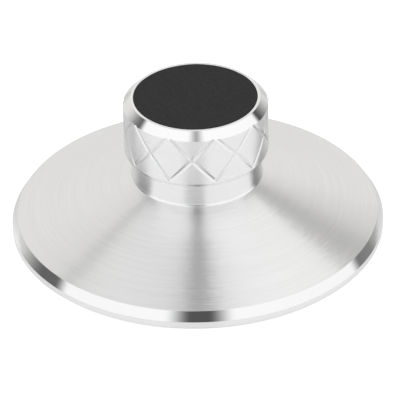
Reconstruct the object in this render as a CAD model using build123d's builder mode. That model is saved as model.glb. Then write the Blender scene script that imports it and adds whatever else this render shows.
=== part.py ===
# Record weight: a turned disc with a sloping skirt, a knob with a diamond band,
# an inlay in the knob's top and a protective pad under the base.
# Millimetres, +Z up, origin at the centre of the base plane.
import os
from math import radians, tan

from build123d import *

# skirt
base_diameter = 80.0
rim_height = 1.95
rim_undercut = 0.55
bevel_width = 1.25
bevel_height = 1.97
skirt_angle = 21.0

# neck and knob
neck_diameter = 27.9
neck_height = 5.55
neck_foot_fillet = 0.5
knob_diameter = 30.74
lower_chamfer_width = 0.32
lower_chamfer_height = 0.7
band_height = 11.3
top_chamfer_width = 1.62
top_chamfer_height = 1.62

# diamond band, engraved with a conical cutter: the lines turn round at their lower corners
# and run out over the top chamfer, a little short of where they would cross
diamond_count = 10
diamond_start_angle = -3.6
groove_width = 0.8
groove_depth = 0.2
groove_foot_margin = 0.48
groove_run_out = 0.67

# inlay in the knob's top
land_width = 0.6
inlay_thickness = 1.5
inlay_drop = 0.02
inlay_clearance = 0.04
inlay_edge_break = 0.15

# pad under the base
pad_margin = 2.0
pad_thickness = 1.2
pad_stand_out = 0.4
pad_clearance = 0.1
pad_edge_break = 0.15
pad_hole_margin = 2.0

# record spindle
spindle_diameter = 7.1
spindle_clearance = 0.1
bore_wall_length = 16.0
bore_mouth_chamfer = 0.6

# heights and radii that follow
base_radius = base_diameter / 2
neck_radius = neck_diameter / 2
knob_radius = knob_diameter / 2
metal_bottom = pad_stand_out
rim_top = metal_bottom + rim_height
bevel_top = rim_top + bevel_height
bevel_radius = base_radius - bevel_width
neck_foot = bevel_top + (bevel_radius - neck_radius) * tan(radians(skirt_angle))
band_bottom = neck_foot + neck_height
band_top = band_bottom + band_height
knob_top = band_top + top_chamfer_height
land_radius = knob_radius - top_chamfer_width
pocket_radius = land_radius - land_width
inlay_radius = pocket_radius - inlay_clearance
pocket_depth = inlay_thickness + inlay_drop
recess_radius = base_radius - rim_undercut - pad_margin
recess_depth = pad_thickness - pad_stand_out
recess_roof = metal_bottom + recess_depth
pad_radius = recess_radius - pad_clearance
bore_radius = spindle_diameter / 2 + spindle_clearance
bore_roof = recess_roof + bore_mouth_chamfer + bore_wall_length
pad_hole_radius = bore_radius + bore_mouth_chamfer + pad_hole_margin

# one groove of each hand, from a lower corner to where the next corner up would be
groove_bottom = band_bottom + lower_chamfer_height + groove_foot_margin
groove_rise = band_top + groove_run_out - groove_bottom
groove_clear = 0.15
cutter_height = groove_depth + groove_clear
cutter_radius = groove_width / 2 * cutter_height / groove_depth


def groove(lefthand):
    with BuildPart() as cutter:
        with BuildLine() as path:
            Helix(
                pitch=groove_rise * diamond_count,
                height=groove_rise,
                radius=knob_radius,
                center=(0, 0, groove_bottom),
                lefthand=lefthand,
            )
        run = path.wires()[0]
        with BuildSketch(Plane(origin=run @ 0, x_dir=(1, 0, 0), z_dir=run % 0)):
            with BuildLine():
                Polyline(
                    (-groove_depth, 0),
                    (groove_clear, cutter_radius),
                    (groove_clear, -cutter_radius),
                    close=True,
                )
            make_face()
        sweep(path=run, is_frenet=True)
    return cutter.part


with BuildPart() as corner_cutter:
    with Locations(Plane(origin=(knob_radius - groove_depth, 0, groove_bottom), z_dir=(1, 0, 0))):
        Cone(0, cutter_radius, cutter_height, align=(Align.CENTER, Align.CENTER, Align.MIN))

with BuildPart() as weight_body:
    with BuildSketch(Plane.XZ) as profile:
        with BuildLine():
            Polyline(
                (0, metal_bottom),
                (base_radius - rim_undercut, metal_bottom),
                (base_radius, metal_bottom + rim_undercut),
                (base_radius, rim_top),
                (bevel_radius, bevel_top),
                (neck_radius, neck_foot),
                (neck_radius, band_bottom),
                (knob_radius - lower_chamfer_width, band_bottom),
                (knob_radius, band_bottom + lower_chamfer_height),
                (knob_radius, band_top),
                (land_radius, knob_top),
                (0, knob_top),
                close=True,
            )
        make_face()
        fillet(profile.vertices().sort_by_distance((neck_radius, neck_foot))[0], neck_foot_fillet)
    revolve(axis=Axis.Z)
    with Locations((0, 0, knob_top)):
        Cylinder(pocket_radius, pocket_depth, align=(Align.CENTER, Align.CENTER, Align.MAX), mode=Mode.SUBTRACT)
    with Locations((0, 0, metal_bottom)):
        Cylinder(recess_radius, recess_depth, align=(Align.CENTER, Align.CENTER, Align.MIN), mode=Mode.SUBTRACT)
    with BuildSketch(Plane.XZ):
        with BuildLine():
            Polyline(
                (0, recess_roof),
                (bore_radius + bore_mouth_chamfer, recess_roof),
                (bore_radius, recess_roof + bore_mouth_chamfer),
                (bore_radius, bore_roof),
                (0, bore_roof),
                close=True,
            )
        make_face()
    revolve(axis=Axis.Z, mode=Mode.SUBTRACT)
    with PolarLocations(0, diamond_count, start_angle=diamond_start_angle):
        add(groove(False), mode=Mode.SUBTRACT)
        add(groove(True), mode=Mode.SUBTRACT)
        add(corner_cutter.part, mode=Mode.SUBTRACT)
weight_body.part.label = "weight_body"

with BuildPart() as top_inlay:
    with Locations((0, 0, knob_top - pocket_depth)):
        Cylinder(inlay_radius, inlay_thickness, align=(Align.CENTER, Align.CENTER, Align.MIN))
    chamfer(top_inlay.faces().sort_by(Axis.Z)[-1].edges(), inlay_edge_break)
top_inlay.part.label = "top_inlay"

with BuildPart() as base_pad:
    with BuildSketch():
        Circle(pad_radius)
        Circle(pad_hole_radius, mode=Mode.SUBTRACT)
    extrude(amount=pad_thickness)
    chamfer(base_pad.faces().sort_by(Axis.Z)[0].edges(), pad_edge_break)
base_pad.part.label = "base_pad"

os.makedirs("parts", exist_ok=True)
export_step(weight_body.part, "parts/weight_body.step")
export_step(top_inlay.part, "parts/top_inlay.step")
export_step(base_pad.part, "parts/base_pad.step")
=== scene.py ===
# A turned aluminium record weight on a white studio floor.
from math import cos, pi, radians, sin, tan

import bpy
import numpy as np
from mathutils import Matrix, Vector


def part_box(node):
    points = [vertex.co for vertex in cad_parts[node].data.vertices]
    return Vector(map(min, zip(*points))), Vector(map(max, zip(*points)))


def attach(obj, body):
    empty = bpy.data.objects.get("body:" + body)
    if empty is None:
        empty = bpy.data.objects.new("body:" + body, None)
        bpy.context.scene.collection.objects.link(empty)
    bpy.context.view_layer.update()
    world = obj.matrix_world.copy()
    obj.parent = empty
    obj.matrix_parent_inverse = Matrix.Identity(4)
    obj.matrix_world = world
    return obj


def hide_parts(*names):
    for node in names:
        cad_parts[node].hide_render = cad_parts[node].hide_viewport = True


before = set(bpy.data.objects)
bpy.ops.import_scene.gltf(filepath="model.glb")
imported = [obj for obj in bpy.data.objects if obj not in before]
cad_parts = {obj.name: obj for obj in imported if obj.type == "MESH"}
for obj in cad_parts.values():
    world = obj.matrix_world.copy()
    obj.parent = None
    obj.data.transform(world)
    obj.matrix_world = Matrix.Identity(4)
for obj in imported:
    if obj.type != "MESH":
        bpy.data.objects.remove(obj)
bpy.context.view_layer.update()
scene = bpy.context.scene
scene.view_settings.view_transform = 'Standard'
mm = 0.001


# Empties a node tree and gives a call that adds one node to it. The node's sockets are filled by place,
# as i0, i1, ..., or by name. A socket as value is linked, anything else is set.
def emptyTree(owner):
    owner.use_nodes = True
    tree = owner.node_tree
    tree.nodes.clear()

    def add(kind, settings=(), **sockets):
        node = tree.nodes.new(kind)
        for key, value in dict(settings).items():
            setattr(node, key, value)
        for key, value in sockets.items():
            place = int(key[1:]) if key[1:].isdigit() else key.replace("_", " ")
            if isinstance(value, bpy.types.NodeSocket):
                tree.links.new(value, node.inputs[place])
            else:
                node.inputs[place].default_value = value
        return node

    return add


def calc(add, operation, a, b=0.0, c=0.0):
    return add('ShaderNodeMath', {"operation": operation}, i0=a, i1=b, i2=c).outputs[0]


# From toLow to toHigh as the value crosses the span, eased at both ends unless another ease is given
def ramp(add, value, span, toLow=0.0, toHigh=1.0, ease='SMOOTHSTEP'):
    return add('ShaderNodeMapRange', {"interpolation_type": ease}, i0=value, i1=span[0], i2=span[1],
               i3=toLow, i4=toHigh).outputs[0]


# From a to b as the factor goes from 0 to 1
def blend(add, factor, a, b):
    return add('ShaderNodeMix', {"data_type": 'FLOAT'}, i0=factor, i2=a, i3=b).outputs[0]


def scaled(add, vector, factor):
    return add('ShaderNodeVectorMath', {"operation": 'SCALE'}, i0=vector, Scale=factor).outputs[0]


# Noise keeps near 0.5, so the narrower the span that counts, the stronger its contrast
noiseSpans = {"narrow": (0.3, 0.7), "middle": (0.25, 0.75), "wide": (0.2, 0.8)}


# A value that goes from middle - amount to middle + amount as the noise crosses its span
def vary(add, noise, span, middle, amount):
    return ramp(add, noise, noiseSpans[span], middle - amount, middle + amount, 'LINEAR')


# Turned finishes. ring is the width of a tool mark. The brushed one also has shaded marks and streaks.
brushed = {"colour": (0.91, 0.91, 0.915), "roughness": 0.24, "anisotropy": 0.9, "ring": 0.45 * mm,
           "shade": 0.03, "broadShade": 0.004, "streak": 0.2 * mm, "lean": 0.018}
polished = {"colour": (0.92, 0.92, 0.925), "roughness": 0.07, "anisotropy": 0.75, "ring": 0.3 * mm}
# The engraved finish is darker than the brushed one: painted shade in the grooves and on the knob's lower
# chamfer
engravedPaintedShade = {"colour": (0.86, 0.86, 0.865), "roughness": 0.28, "anisotropy": 0.4, "ring": 0.3 * mm}

# How often each kind of mark changes round the circle, its scale and its detail, then what all share
toolMarks = {"fine": (1.6, 1.0, 3.0), "broad": (1.6, 0.22, 1.0), "streak": (16.0, 1.0, 2.0),
             "noiseRoughness": 0.6, "unevenness": 0.07, "blurTurn": 0.25}


# Metal with tool marks round the axis: noise of (distance / ring, direction round the circle, height / ring)
# is fine along the profile and long round it, and varies the roughness. On the brushed metal it also varies
# the colour, and its streaks lean the normal round the circle: normal + tangent * lean, made 1 long again.
def turnedMetal(name, look):
    material = bpy.data.materials.new(name)
    add = emptyTree(material)
    x, y, z = add('ShaderNodeSeparateXYZ', i0=add('ShaderNodeTexCoord').outputs["Object"]).outputs
    distance = calc(add, 'SQRT', calc(add, 'MULTIPLY_ADD', x, x, calc(add, 'MULTIPLY', y, y)))
    around = add('ShaderNodeTangent', {"direction_type": 'RADIAL', "axis": 'Z'}).outputs[0]

    def marks(kind, ring):
        turns, scale, detail = toolMarks[kind]
        across = add('ShaderNodeCombineXYZ', i0=calc(add, 'DIVIDE', distance, ring),
                     i1=calc(add, 'MULTIPLY', calc(add, 'DIVIDE', x, distance), turns),
                     i2=calc(add, 'MULTIPLY', calc(add, 'DIVIDE', y, distance), turns)).outputs[0]
        return add('ShaderNodeTexNoise', {"noise_dimensions": '4D'}, Vector=across,
                   W=calc(add, 'DIVIDE', z, ring), Scale=scale, Detail=detail,
                   Roughness=toolMarks["noiseRoughness"]).outputs["Fac"]

    fine = marks("fine", look["ring"])
    roughness = vary(add, fine, "wide", look["roughness"], look["roughness"] * toolMarks["unevenness"])
    finish = {"Base_Color": (*look["colour"], 1)}
    if "lean" in look:
        shade = calc(add, 'MULTIPLY', vary(add, fine, "middle", 1, look["shade"]),
                     vary(add, marks("broad", look["ring"]), "narrow", 1, look["broadShade"]))
        lean = vary(add, marks("streak", look["streak"]), "wide", 0, look["lean"])
        upright = add('ShaderNodeNewGeometry').outputs["Normal"]
        leaning = add('ShaderNodeVectorMath', {"operation": 'ADD'}, i0=upright,
                      i1=scaled(add, around, lean)).outputs[0]
        normal = add('ShaderNodeVectorMath', {"operation": 'NORMALIZE'}, i0=leaning).outputs[0]
        finish = {"Base_Color": scaled(add, look["colour"], shade), "Normal": normal}
    shader = add('ShaderNodeBsdfPrincipled', Metallic=1.0, Roughness=roughness, Tangent=around,
                 Anisotropic=look["anisotropy"], Anisotropic_Rotation=toolMarks["blurTurn"], **finish)
    add('ShaderNodeOutputMaterial', Surface=shader.outputs[0])
    return material


inlayFinish = {"colour": (0.0235, 0.0235, 0.0242), "roughness": 0.72, "grain": 0.5 * mm, "mottle": 0.3}
padFinish = {"colour": (0.02, 0.02, 0.021), "roughness": 0.85, "grain": 0.25 * mm, "mottle": 0.15}
blackGrain = {"detail": 4.0, "noiseRoughness": 0.65, "bump": 0.25, "bumpHeight": 0.05 * mm, "gloss": 0.25}


# A matt black sheet with a fine grain in its colour and its height
def softBlack(name, look):
    material = bpy.data.materials.new(name)
    add = emptyTree(material)
    grain = add('ShaderNodeTexNoise', Vector=add('ShaderNodeTexCoord').outputs["Object"],
                Scale=1 / look["grain"], Detail=blackGrain["detail"],
                Roughness=blackGrain["noiseRoughness"]).outputs["Fac"]
    colour = scaled(add, look["colour"], vary(add, grain, "narrow", 1, look["mottle"]))
    bump = add('ShaderNodeBump', Strength=blackGrain["bump"], Distance=blackGrain["bumpHeight"],
               Height=grain).outputs[0]
    shader = add('ShaderNodeBsdfPrincipled', Base_Color=colour, Roughness=look["roughness"],
                 Specular_IOR_Level=blackGrain["gloss"], Normal=bump)
    add('ShaderNodeOutputMaterial', Surface=shader.outputs[0])
    return material


brushedMetal = turnedMetal("brushedAluminium", brushed)
polishedMetal = turnedMetal("polishedAluminium", polished)
engravedPaintedShadeMetal = turnedMetal("engravedPaintedShadeAluminium", engravedPaintedShade)
blackInlay = softBlack("blackInlay", inlayFinish)
blackPad = softBlack("blackPad", padFinish)
print("finishes made")


# sharpAngle is the angle in degrees past which an edge stays sharp
def makeMesh(name, points, faces, faceSlots, materials, sharpAngle=25):
    mesh = bpy.data.meshes.new(name)
    mesh.from_pydata(points, [], faces)
    for material in materials:
        mesh.materials.append(material)
    mesh.polygons.foreach_set("material_index", np.asarray(faceSlots, dtype=np.int32))
    mesh.shade_smooth()
    mesh.set_sharp_from_angle(angle=radians(sharpAngle))
    piece = bpy.data.objects.new(name, mesh)
    scene.collection.objects.link(piece)
    return piece


# An outline in radius and height from corners (r, z, rounding, slot). Each rounded corner becomes an arc
# tangent to both its sides, with one more row a little before and after it, so that the sides shade flat.
# slot is the finish of the side that follows.
def roundCorners(corners, steps=4, hold=0.03 * mm):
    rows, slots = [], []
    for i, (r, z, rounding, slot) in enumerate(corners):
        here = np.array([r, z])
        if rounding == 0:
            rows.append(here)
            slots.append(slot)
            continue
        before = np.array(corners[i - 1][:2]) - here
        after = np.array(corners[i + 1][:2]) - here
        before = before / np.linalg.norm(before)
        after = after / np.linalg.norm(after)
        half = np.arccos(before @ after) / 2
        centre = here + (before + after) / np.linalg.norm(before + after) * rounding / sin(half)
        start = here + before * rounding / tan(half) - centre
        end = here + after * rounding / tan(half) - centre
        swept = np.arctan2(start[0] * end[1] - start[1] * end[0], start @ end)
        t = np.linspace(0, swept, steps + 1)[:, None]
        arc = centre + start * np.cos(t) + np.array([-start[1], start[0]]) * np.sin(t)
        rows.extend([arc[0] + before * hold, *arc, arc[-1] + after * hold])
        slots.extend([corners[i - 1][3]] + [slot] * (steps + 2))
    return np.array(rows), slots


# How a square of the grid becomes faces: left whole, split along a rising or a falling line, or a triangle
# where the outline starts or ends on the axis
whole, splitRising, splitFalling, fromAxis, toAxis = range(5)
cuts = [[[0, 1, 2, 3]], [[0, 1, 2], [0, 2, 3]], [[0, 1, 3], [1, 2, 3]], [[0, 2, 3]], [[0, 1, 2]]]


# Carries an outline round the Z axis: x = r cos a, y = r sin a, z = h. An end on the axis becomes one point.
# shape(a, h, r) gives a new r, and divide(a, h, slot) says how each square is cut and gives it a new slot.
def turn(name, rows, slots, materials, columns, closed=False, shape=None, divide=None, sharpAngle=25):
    angle, height = np.meshgrid(np.arange(columns) * 2 * pi / columns, rows[:, 1])
    radius = np.repeat(rows[:, :1], columns, axis=1)
    if shape:
        radius = shape(angle, height, radius)
    points = np.stack([radius * np.cos(angle), radius * np.sin(angle), height], axis=-1).reshape(-1, 3)
    number = np.arange(len(points)).reshape(radius.shape)
    onAxis = rows[:, 0] == 0
    number[onAxis] = number[onAxis][:, :1]
    used, number = np.unique(number, return_inverse=True)
    number = number.reshape(radius.shape)
    if closed:
        number = np.vstack([number, number[:1]])
    a, b = number[:-1], number[1:]
    squares = np.stack([a, np.roll(a, -1, 1), np.roll(b, -1, 1), b], axis=-1)
    slot = np.repeat(np.array(slots)[:len(squares), None], columns, axis=1)
    way = np.full(slot.shape, whole)
    if divide:
        way, slot = divide(angle, height, slot)
    if onAxis[0]:
        way[0] = fromAxis
    if onAxis[-1]:
        way[-1] = toAxis
    faces, faceSlots = [], []
    for kind, corners in enumerate(cuts):
        for pick in corners:
            faces += squares[way == kind][:, pick].tolist()
            faceSlots.append(slot[way == kind])
    return makeMesh(name, points[used], faces, np.concatenate(faceSlots), materials, sharpAngle)


# Turned body. Its top, underside and base radius come from the frame, the rest counts from there.
body = {
    "rimHeight": 1.95 * mm, "rimUndercut": 0.55 * mm,
    "bevelWidth": 1.25 * mm, "bevelHeight": 1.97 * mm, "skirtAngle": 21.0,
    "neckRadius": 13.95 * mm, "neckHeight": 5.55 * mm, "footFillet": 0.5 * mm,
    "knobRadius": 15.37 * mm, "lowerChamferWidth": 0.32 * mm, "lowerChamferHeight": 0.7 * mm,
    "bandHeight": 11.3 * mm, "topChamferWidth": 1.62 * mm, "landWidth": 0.6 * mm, "pocketDepth": 1.52 * mm,
    "recessRadius": 37.45 * mm, "recessDepth": 0.8 * mm,
    "boreRadius": 3.65 * mm, "boreLength": 16.0 * mm, "boreChamfer": 0.6 * mm, "boreRoofRound": 0.2 * mm,
    "edgeRound": 0.07 * mm, "sharpAngle": 40,
}

# The grid has 48 cells from one crossing to the next, up and round, and the band's top edge cuts it at 45.
# Above that edge the grooves run out over the chamfer, and below the lowest crossings is the band's foot.
diamonds = {
    "count": 10, "startAngle": -3.6, "grooveDepth": 0.2 * mm, "footMargin": 0.48 * mm, "footRows": 4,
    "cells": 48, "bandCells": 45, "halfWidthCells": 3, "runOut": 0.2 * mm, "runOutRows": 5,
}

bodyLow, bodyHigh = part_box("weight_body")
rimTop = bodyLow.z + body["rimHeight"]
bevelTop = rimTop + body["bevelHeight"]
bevelRadius = bodyHigh.x - body["bevelWidth"]
neckFoot = bevelTop + (bevelRadius - body["neckRadius"]) * tan(radians(body["skirtAngle"]))
bandBottom = neckFoot + body["neckHeight"]
bandFoot = bandBottom + body["lowerChamferHeight"]
bandTop = bandBottom + body["bandHeight"]
grooveBottom = bandFoot + diamonds["footMargin"]
grooveRise = (bandTop - grooveBottom) * diamonds["cells"] / diamonds["bandCells"]
pitchAngle = 2 * pi / diamonds["count"]
pitchLength = pitchAngle * body["knobRadius"]
grooveSpacing = pitchLength * grooveRise / np.hypot(pitchLength, grooveRise)
halfWidth = diamonds["halfWidthCells"] / diamonds["cells"] * grooveSpacing

# Slots of the body's squares. The band's are given the first or the third when they are split. The third,
# engraved, is darker: painted shade in the grooves and under the knob.
brushedSlot, polishedSlot, engravedPaintedShadeSlot, bandSlot = range(4)


# Two distances, from the nearest groove that rises to the right and from the nearest of all. With u round
# the knob in pitches and v up the band, a groove lies where u - v, or u + v, is whole. Below the lowest
# crossings the distance is from the nearest crossing, because there the grooves turn round.
def grooveDistances(angle, height):
    u = (angle - radians(diamonds["startAngle"])) / pitchAngle
    v = (height - grooveBottom) / grooveRise
    rising = np.abs(u - v - np.round(u - v)) * grooveSpacing
    falling = np.abs(u + v - np.round(u + v)) * grooveSpacing
    corner = np.hypot((u - np.round(u)) * pitchLength, height - grooveBottom)
    return rising, np.where(height < grooveBottom, corner, np.minimum(rising, falling))


# The cutter is a cone, so the radius at a groove is knob radius - depth * (1 - distance / halfWidth)
def engrave(angle, height, radius):
    _, nearest = grooveDistances(angle, height)
    carved = body["knobRadius"] - diamonds["grooveDepth"] * (1 - nearest / halfWidth)
    return np.where(height > bandFoot, np.minimum(radius, carved), radius)


# Squares of the band split along the nearer groove, which keeps its edges straight, and those inside it
# take the engraved finish, whose darker colour is painted shade in the grooves
def splitBand(angle, height, slot):
    middleHeight = (height[:-1] + height[1:]) / 2
    rising, nearest = grooveDistances(angle[:-1] + pi / angle.shape[1], middleHeight)
    onBand = slot == bandSlot
    along = np.where(rising == nearest, splitRising, splitFalling)
    way = np.where(onBand & (middleHeight > grooveBottom), along, whole)
    plainOrShadedCut = np.where(nearest < halfWidth, engravedPaintedShadeSlot, brushedSlot)
    return way, np.where(onBand, plainOrShadedCut, slot)


# The outline from the bore's roof down, out under the base and up to the pocket for the inlay
def bodyOutline():
    b, edge = body, body["edgeRound"]
    recessRoof = bodyLow.z + b["recessDepth"]
    boreMouth = recessRoof + b["boreChamfer"]
    boreRoof = boreMouth + b["boreLength"]
    land = b["knobRadius"] - b["topChamferWidth"]
    pocket = land - b["landWidth"]
    pocketFloor = bodyHigh.z - b["pocketDepth"]
    lower, lowerSlots = roundCorners([
        (0, boreRoof, 0, brushedSlot),
        (b["boreRadius"], boreRoof, b["boreRoofRound"], brushedSlot),
        (b["boreRadius"], boreMouth, edge, polishedSlot),
        (b["boreRadius"] + b["boreChamfer"], recessRoof, edge, brushedSlot),
        (b["recessRadius"], recessRoof, edge, brushedSlot),
        (b["recessRadius"], bodyLow.z, edge, brushedSlot),
        (bodyHigh.x - b["rimUndercut"], bodyLow.z, edge, brushedSlot),
        (bodyHigh.x, bodyLow.z + b["rimUndercut"], edge, brushedSlot),
        (bodyHigh.x, rimTop, edge, polishedSlot),
        (bevelRadius, bevelTop, edge, brushedSlot),
        (b["neckRadius"], neckFoot, b["footFillet"], brushedSlot),
        (b["neckRadius"], bandBottom, edge, brushedSlot),
        # The knob's lower chamfer takes the engraved finish, whose darker colour here is painted shade under
        # the knob's lip
        (b["knobRadius"] - b["lowerChamferWidth"], bandBottom, edge, engravedPaintedShadeSlot),
        (b["knobRadius"], bandFoot, edge, bandSlot),
        (b["knobRadius"], grooveBottom, 0, bandSlot),
    ])
    foot = np.linspace(bandFoot + edge, grooveBottom, diamonds["footRows"] + 2)[1:-1]
    crossed = np.linspace(grooveBottom, bandTop, diamonds["bandCells"] + 1)
    atBand = np.concatenate([foot, crossed])
    bandRows = np.stack([np.full(len(atBand), b["knobRadius"]), atBand], axis=1)
    slope = b["topChamferWidth"] / (bodyHigh.z - bandTop)
    up = np.linspace(0, diamonds["runOut"], diamonds["runOutRows"] + 1)[1:]
    runOutRows = np.stack([b["knobRadius"] - up * slope, bandTop + up], axis=1)
    upper, upperSlots = roundCorners([
        (*runOutRows[-1], 0, polishedSlot),
        (land, bodyHigh.z, edge, brushedSlot),
        (pocket, bodyHigh.z, edge, brushedSlot),
        (pocket, pocketFloor, 0, brushedSlot),
        (0, pocketFloor, 0, brushedSlot),
    ])
    rows = np.vstack([lower[:-1], bandRows, runOutRows[:-1], upper])
    bandSlots = [bandSlot] * (len(bandRows) - 1)
    return rows, lowerSlots[:-1] + bandSlots + [polishedSlot] * len(runOutRows) + upperSlots


rows, slots = bodyOutline()
turnedBody = turn("turnedBody", rows, slots, [brushedMetal, polishedMetal, engravedPaintedShadeMetal],
                  diamonds["count"] * diamonds["cells"], shape=engrave, divide=splitBand,
                  sharpAngle=body["sharpAngle"])
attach(turnedBody, "root")
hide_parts("weight_body")
print("body made,", len(turnedBody.data.vertices), "points")


# Inlay and pad, each of one finish. Their sizes come from the frame.
disc = {"edgeRound": 0.12 * mm, "columns": 240}
inlayLow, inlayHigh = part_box("top_inlay")
rows, slots = roundCorners([
    (0, inlayLow.z, 0, 0),
    (inlayHigh.x, inlayLow.z, 0, 0),
    (inlayHigh.x, inlayHigh.z, disc["edgeRound"], 0),
    (0, inlayHigh.z, 0, 0),
])
blackDisc = turn("blackDisc", rows, slots, [blackInlay], disc["columns"])
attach(blackDisc, "root")
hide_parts("top_inlay")

ring = {"holeRadius": 6.25 * mm, "edgeRound": 0.15 * mm, "columns": 360}
padLow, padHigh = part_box("base_pad")
rows, slots = roundCorners([
    (ring["holeRadius"], padHigh.z, 0, 0),
    (ring["holeRadius"], padLow.z, ring["edgeRound"], 0),
    (padHigh.x, padLow.z, ring["edgeRound"], 0),
    (padHigh.x, padHigh.z, 0, 0),
])
softRing = turn("softRing", rows, slots, [blackPad], ring["columns"], closed=True)
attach(softRing, "root")
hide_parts("base_pad")
print("inlay and pad made")


# White paper, a hair below the pad. In reflections its front half glows most, and behind the weight it
# glows a little. One fades into the other over frontEdge, and spread bends that line back at the sides.
paper = {
    "radius": 3.0, "columns": 96, "gap": 0.02 * mm, "colour": (0.6, 0.6, 0.6), "roughness": 0.05,
    "cameraGlow": 0.75, "frontGlow": 0.36, "frontEdge": (0.01, 0.0), "spreadFrom": 0.05, "spread": 0.35,
    "backGlow": 0.16, "backReach": (0.052, 0.07),
}


# A disc with rim x = r cos a, y = r sin a. It glows to the camera and to mirror rays, whose glow changes
# where y is spread * (|x| - spreadFrom). From below it is clear, so that the underside can be seen.
def makeFloor():
    angle = np.arange(paper["columns"]) * 2 * pi / paper["columns"]
    points = np.stack([np.cos(angle), np.sin(angle), np.zeros(len(angle))], axis=1) * paper["radius"]
    points[:, 2] = -paper["gap"]
    material = bpy.data.materials.new("whitePaper")
    add = emptyTree(material)
    rays = add('ShaderNodeLightPath').outputs
    x, y, _ = add('ShaderNodeSeparateXYZ', i0=add('ShaderNodeTexCoord').outputs["Object"]).outputs
    mirrored = calc(add, 'MAXIMUM', rays["Is Glossy Ray"], rays["Is Transmission Ray"])
    beside = calc(add, 'ABSOLUTE', x)
    behind = ramp(add, beside, paper["backReach"], paper["backGlow"], 0.0)
    bend = calc(add, 'MAXIMUM', calc(add, 'SUBTRACT', beside, paper["spreadFrom"]), 0.0)
    past = calc(add, 'SUBTRACT', y, calc(add, 'MULTIPLY', bend, paper["spread"]))
    inMirror = ramp(add, past, paper["frontEdge"], behind, paper["frontGlow"])
    inMirror = calc(add, 'MULTIPLY', mirrored, inMirror)
    glow = calc(add, 'MULTIPLY_ADD', rays["Is Camera Ray"], paper["cameraGlow"], inMirror)
    shader = add('ShaderNodeBsdfPrincipled', Base_Color=(*paper["colour"], 1), Roughness=paper["roughness"],
                 Emission_Color=(1, 1, 1, 1), Emission_Strength=glow)
    clear = add('ShaderNodeBsdfTransparent')
    fromBelow = add('ShaderNodeNewGeometry').outputs["Backfacing"]
    sheet = add('ShaderNodeMixShader', i0=fromBelow, i1=shader.outputs[0], i2=clear.outputs[0])
    add('ShaderNodeOutputMaterial', Surface=sheet.outputs[0])
    makeMesh("floor", points, [list(range(len(points)))], [0], [material])


# The world stands for two soft panels in front, a dark slit between them where the camera stands, a dark
# gap behind each, a pale backdrop and a soft lamp high behind. Brightness 1 is white. From the horizon up,
# the slit goes from slitNear over slitLow and slitHigh to slitOverhead, and a gap from lowDark to dark.
studio = {
    "panel": 0.98, "panelRise": 0.09, "backdrop": 0.81, "backdropColour": (1.0, 0.992, 0.975), "lamp": 0.11,
    "slitNear": 0.55, "slitLow": 0.09, "slitHigh": 0.36, "slitOverhead": 0.27, "slitOffset": -0.1,
    "slitHalf": 0.048, "slitWidening": 0.54, "wideningFrom": 0.3,
    "slitSoftness": (0.09, 0.07), "leastSoftness": 0.02,
}

# Where a change starts and ends along the up, sideways or forward part of a direction that is 1 long
upSpans = {
    "lowDark": (0.0, 0.3), "aloft": (0.4, 0.55),
    "slitNear": (0.2, 0.4), "slitOffset": (0.25, 0.45), "lamp": (0.2, 0.4),
}
sideSpans = {"aloftInner": (0.05, 0.2), "aloftOuter": (0.72, 0.6), "lamp": (0.26, 0.1)}
forwardSpans = {
    "slitOffset": (0.0, 0.3), "slitHigh": (0.15, 0.45), "slitLow": (0.55, 0.8), "slitBack": (-0.35, -0.6),
    "lamp": (-0.6, -0.75), "warmth": (-0.1, -0.5),
}

# What differs between the sides. An edge is a plane across the directions (sideways, forward, up): its
# normal, then where along it the change starts and ends. The high edges hold for what the skirt reflects.
overheadEdge = ((0.45, 1.0, 0.0), (0.05, -0.15))
leftSide = {
    "overhead": 0.725, "shade": 0.8, "shadeReach": 0.3, "dark": 0.14, "lowDark": 0.12, "highDark": 0.5,
    "panelEdge": ((0.332, -0.872, -0.361), (0.10, 0.27)),
    "backdropEdge": ((-0.273, 0.955, -0.115), (-0.46, -0.90)), "backdropEase": 'SMOOTHSTEP',
    "highPanelEdge": ((0.83, -0.914, 0.0), (0.68, 0.765)),
    "highBackdropEdge": ((0.83, -0.914, 0.0), (0.75, 0.815)),
}
rightSide = {
    "overhead": 0.9, "shade": 0.74, "shadeReach": 0.2, "dark": 0.095, "lowDark": 0.24, "highDark": 0.48,
    "panelEdge": ((0.055, -0.914, -0.39), (0.12, 0.267)),
    "backdropEdge": ((0.46, 0.874, -0.05), (-0.03, -0.54)), "backdropEase": 'LINEAR',
    "highPanelEdge": ((0.83, -0.914, 0.0), (0.78, 0.87)),
    "highBackdropEdge": ((0.34, -0.94, 0.0), (0.70, 0.88)),
}


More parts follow.
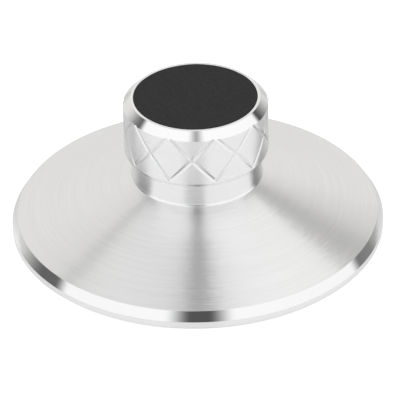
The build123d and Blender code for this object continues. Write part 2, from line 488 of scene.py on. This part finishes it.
# The brightness of each direction. Beside the slit stands a panel, then the dark gap, then the backdrop.
def makeWorld():
    world = bpy.data.worlds.new("studio")
    scene.world = world
    add = emptyTree(world)
    x, y, z = add('ShaderNodeSeparateXYZ', i0=add('ShaderNodeTexCoord').outputs["Generated"]).outputs
    forward = calc(add, 'MULTIPLY', y, -1.0)
    sideways = calc(add, 'ABSOLUTE', x)
    direction = add('ShaderNodeCombineXYZ', i0=sideways, i1=forward, i2=z).outputs[0]
    inward = calc(add, 'MULTIPLY', ramp(add, sideways, sideSpans["aloftOuter"]),
                  ramp(add, sideways, sideSpans["aloftInner"]))
    aloft = calc(add, 'MULTIPLY', ramp(add, z, upSpans["aloft"]), inward)

    # How far a direction is past an edge, from 0 to 1
    def past(edge, ease='SMOOTHSTEP'):
        normal, span = edge
        along = add('ShaderNodeVectorMath', {"operation": 'DOT_PRODUCT'}, i0=direction, i1=normal)
        return ramp(add, along.outputs["Value"], span, ease=ease)

    # Overhead a panel has its own brightness, less close to the slit
    def makeSide(side):
        nearSlit = side["overhead"] * side["shade"]
        overhead = ramp(add, sideways, (0.0, side["shadeReach"]), nearSlit, side["overhead"], 'LINEAR')
        front = calc(add, 'MULTIPLY_ADD', z, studio["panelRise"], studio["panel"])
        panel = blend(add, past(overheadEdge), front, overhead)
        lowToDark = ramp(add, z, upSpans["lowDark"], side["lowDark"], side["dark"])
        dark = blend(add, aloft, lowToDark, side["highDark"])
        pastGap = blend(add, aloft, past(side["backdropEdge"], side["backdropEase"]),
                        past(side["highBackdropEdge"]))
        pastPanel = blend(add, aloft, past(side["panelEdge"]), past(side["highPanelEdge"]))
        return blend(add, pastPanel, panel, blend(add, pastGap, dark, studio["backdrop"]))

    bothSides = blend(add, calc(add, 'GREATER_THAN', x, 0.0), makeSide(leftSide), makeSide(rightSide))

    # The slit's half width is slitHalf + slitWidening * (forward - wideningFrom) squared, and it fades out
    # over the softness to each side of that
    offset = calc(add, 'MULTIPLY', ramp(add, z, upSpans["slitOffset"], studio["slitOffset"], 0.0),
                  ramp(add, forward, forwardSpans["slitOffset"]))
    across = calc(add, 'ABSOLUTE', calc(add, 'SUBTRACT', x, offset))
    lower = calc(add, 'MAXIMUM', calc(add, 'SUBTRACT', forward, studio["wideningFrom"]), 0.0)
    half = calc(add, 'MULTIPLY_ADD', calc(add, 'MULTIPLY', lower, lower), studio["slitWidening"],
                studio["slitHalf"])
    softness = calc(add, 'MULTIPLY_ADD', forward, *studio["slitSoftness"])
    softness = calc(add, 'MAXIMUM', softness, studio["leastSoftness"])
    outside = ramp(add, across, (calc(add, 'SUBTRACT', half, softness), calc(add, 'ADD', half, softness)))
    beyond = calc(add, 'MAXIMUM', outside, ramp(add, forward, forwardSpans["slitBack"]))
    slit = calc(add, 'MINIMUM',
                ramp(add, forward, forwardSpans["slitHigh"], studio["slitOverhead"], studio["slitHigh"]),
                ramp(add, forward, forwardSpans["slitLow"], studio["slitHigh"], studio["slitLow"]))
    slit = calc(add, 'MAXIMUM', slit, ramp(add, z, upSpans["slitNear"], studio["slitNear"], 0.0))

    highBehind = calc(add, 'MULTIPLY', ramp(add, forward, forwardSpans["lamp"]),
                      ramp(add, z, upSpans["lamp"]))
    lamp = calc(add, 'MULTIPLY', ramp(add, sideways, sideSpans["lamp"], 0.0, studio["lamp"]), highBehind)
    light = calc(add, 'ADD', blend(add, beyond, slit, bothSides), lamp)

    # The camera sees plain white, and the backdrop is a little warm
    toCamera = add('ShaderNodeLightPath').outputs["Is Camera Ray"]
    strength = blend(add, toCamera, light, 1.0)
    warmth = calc(add, 'MULTIPLY', ramp(add, forward, forwardSpans["warmth"]),
                  calc(add, 'SUBTRACT', 1.0, toCamera))
    colour = add('ShaderNodeMix', {"data_type": 'RGBA'}, i0=warmth, i6=(1, 1, 1, 1),
                 i7=(*studio["backdropColour"], 1)).outputs[2]
    background = add('ShaderNodeBackground', Color=colour, Strength=strength)
    add('ShaderNodeOutputWorld', Surface=background.outputs[0])


makeFloor()
makeWorld()
print("studio made")


# The camera, at the photograph's angle
view = {"distance": 0.7, "elevation": 33.897, "yaw": -0.053, "tilt": 0.345, "roll": -1.189,
        "aimHeight": 0.987 * mm, "lens": 291.44, "sensorWidth": 36, "clipStart": 0.01}


def turnBy(degrees, axis):
    return Matrix.Rotation(radians(degrees), 4, axis)


# It stands on the front side of the aim, up by the elevation. A new camera looks down, so it is first
# turned level, and then by yaw, tilt and roll.
def makeCamera():
    camera = bpy.data.objects.new("camera", bpy.data.cameras.new("camera"))
    scene.collection.objects.link(camera)
    camera.data.sensor_width = view["sensorWidth"]
    camera.data.lens = view["lens"]
    camera.data.clip_start = view["clipStart"]
    up = radians(view["elevation"])
    place = Vector((0, -cos(up), sin(up))) * view["distance"] + Vector((0, 0, view["aimHeight"]))
    level = turnBy(90, 'X') @ turnBy(view["yaw"], 'Y')
    turned = level @ turnBy(view["tilt"] - view["elevation"], 'X') @ turnBy(view["roll"], 'Z')
    camera.matrix_world = Matrix.Translation(place) @ turned
    scene.camera = camera


makeCamera()
bpy.context.view_layer.update()
print("camera set")
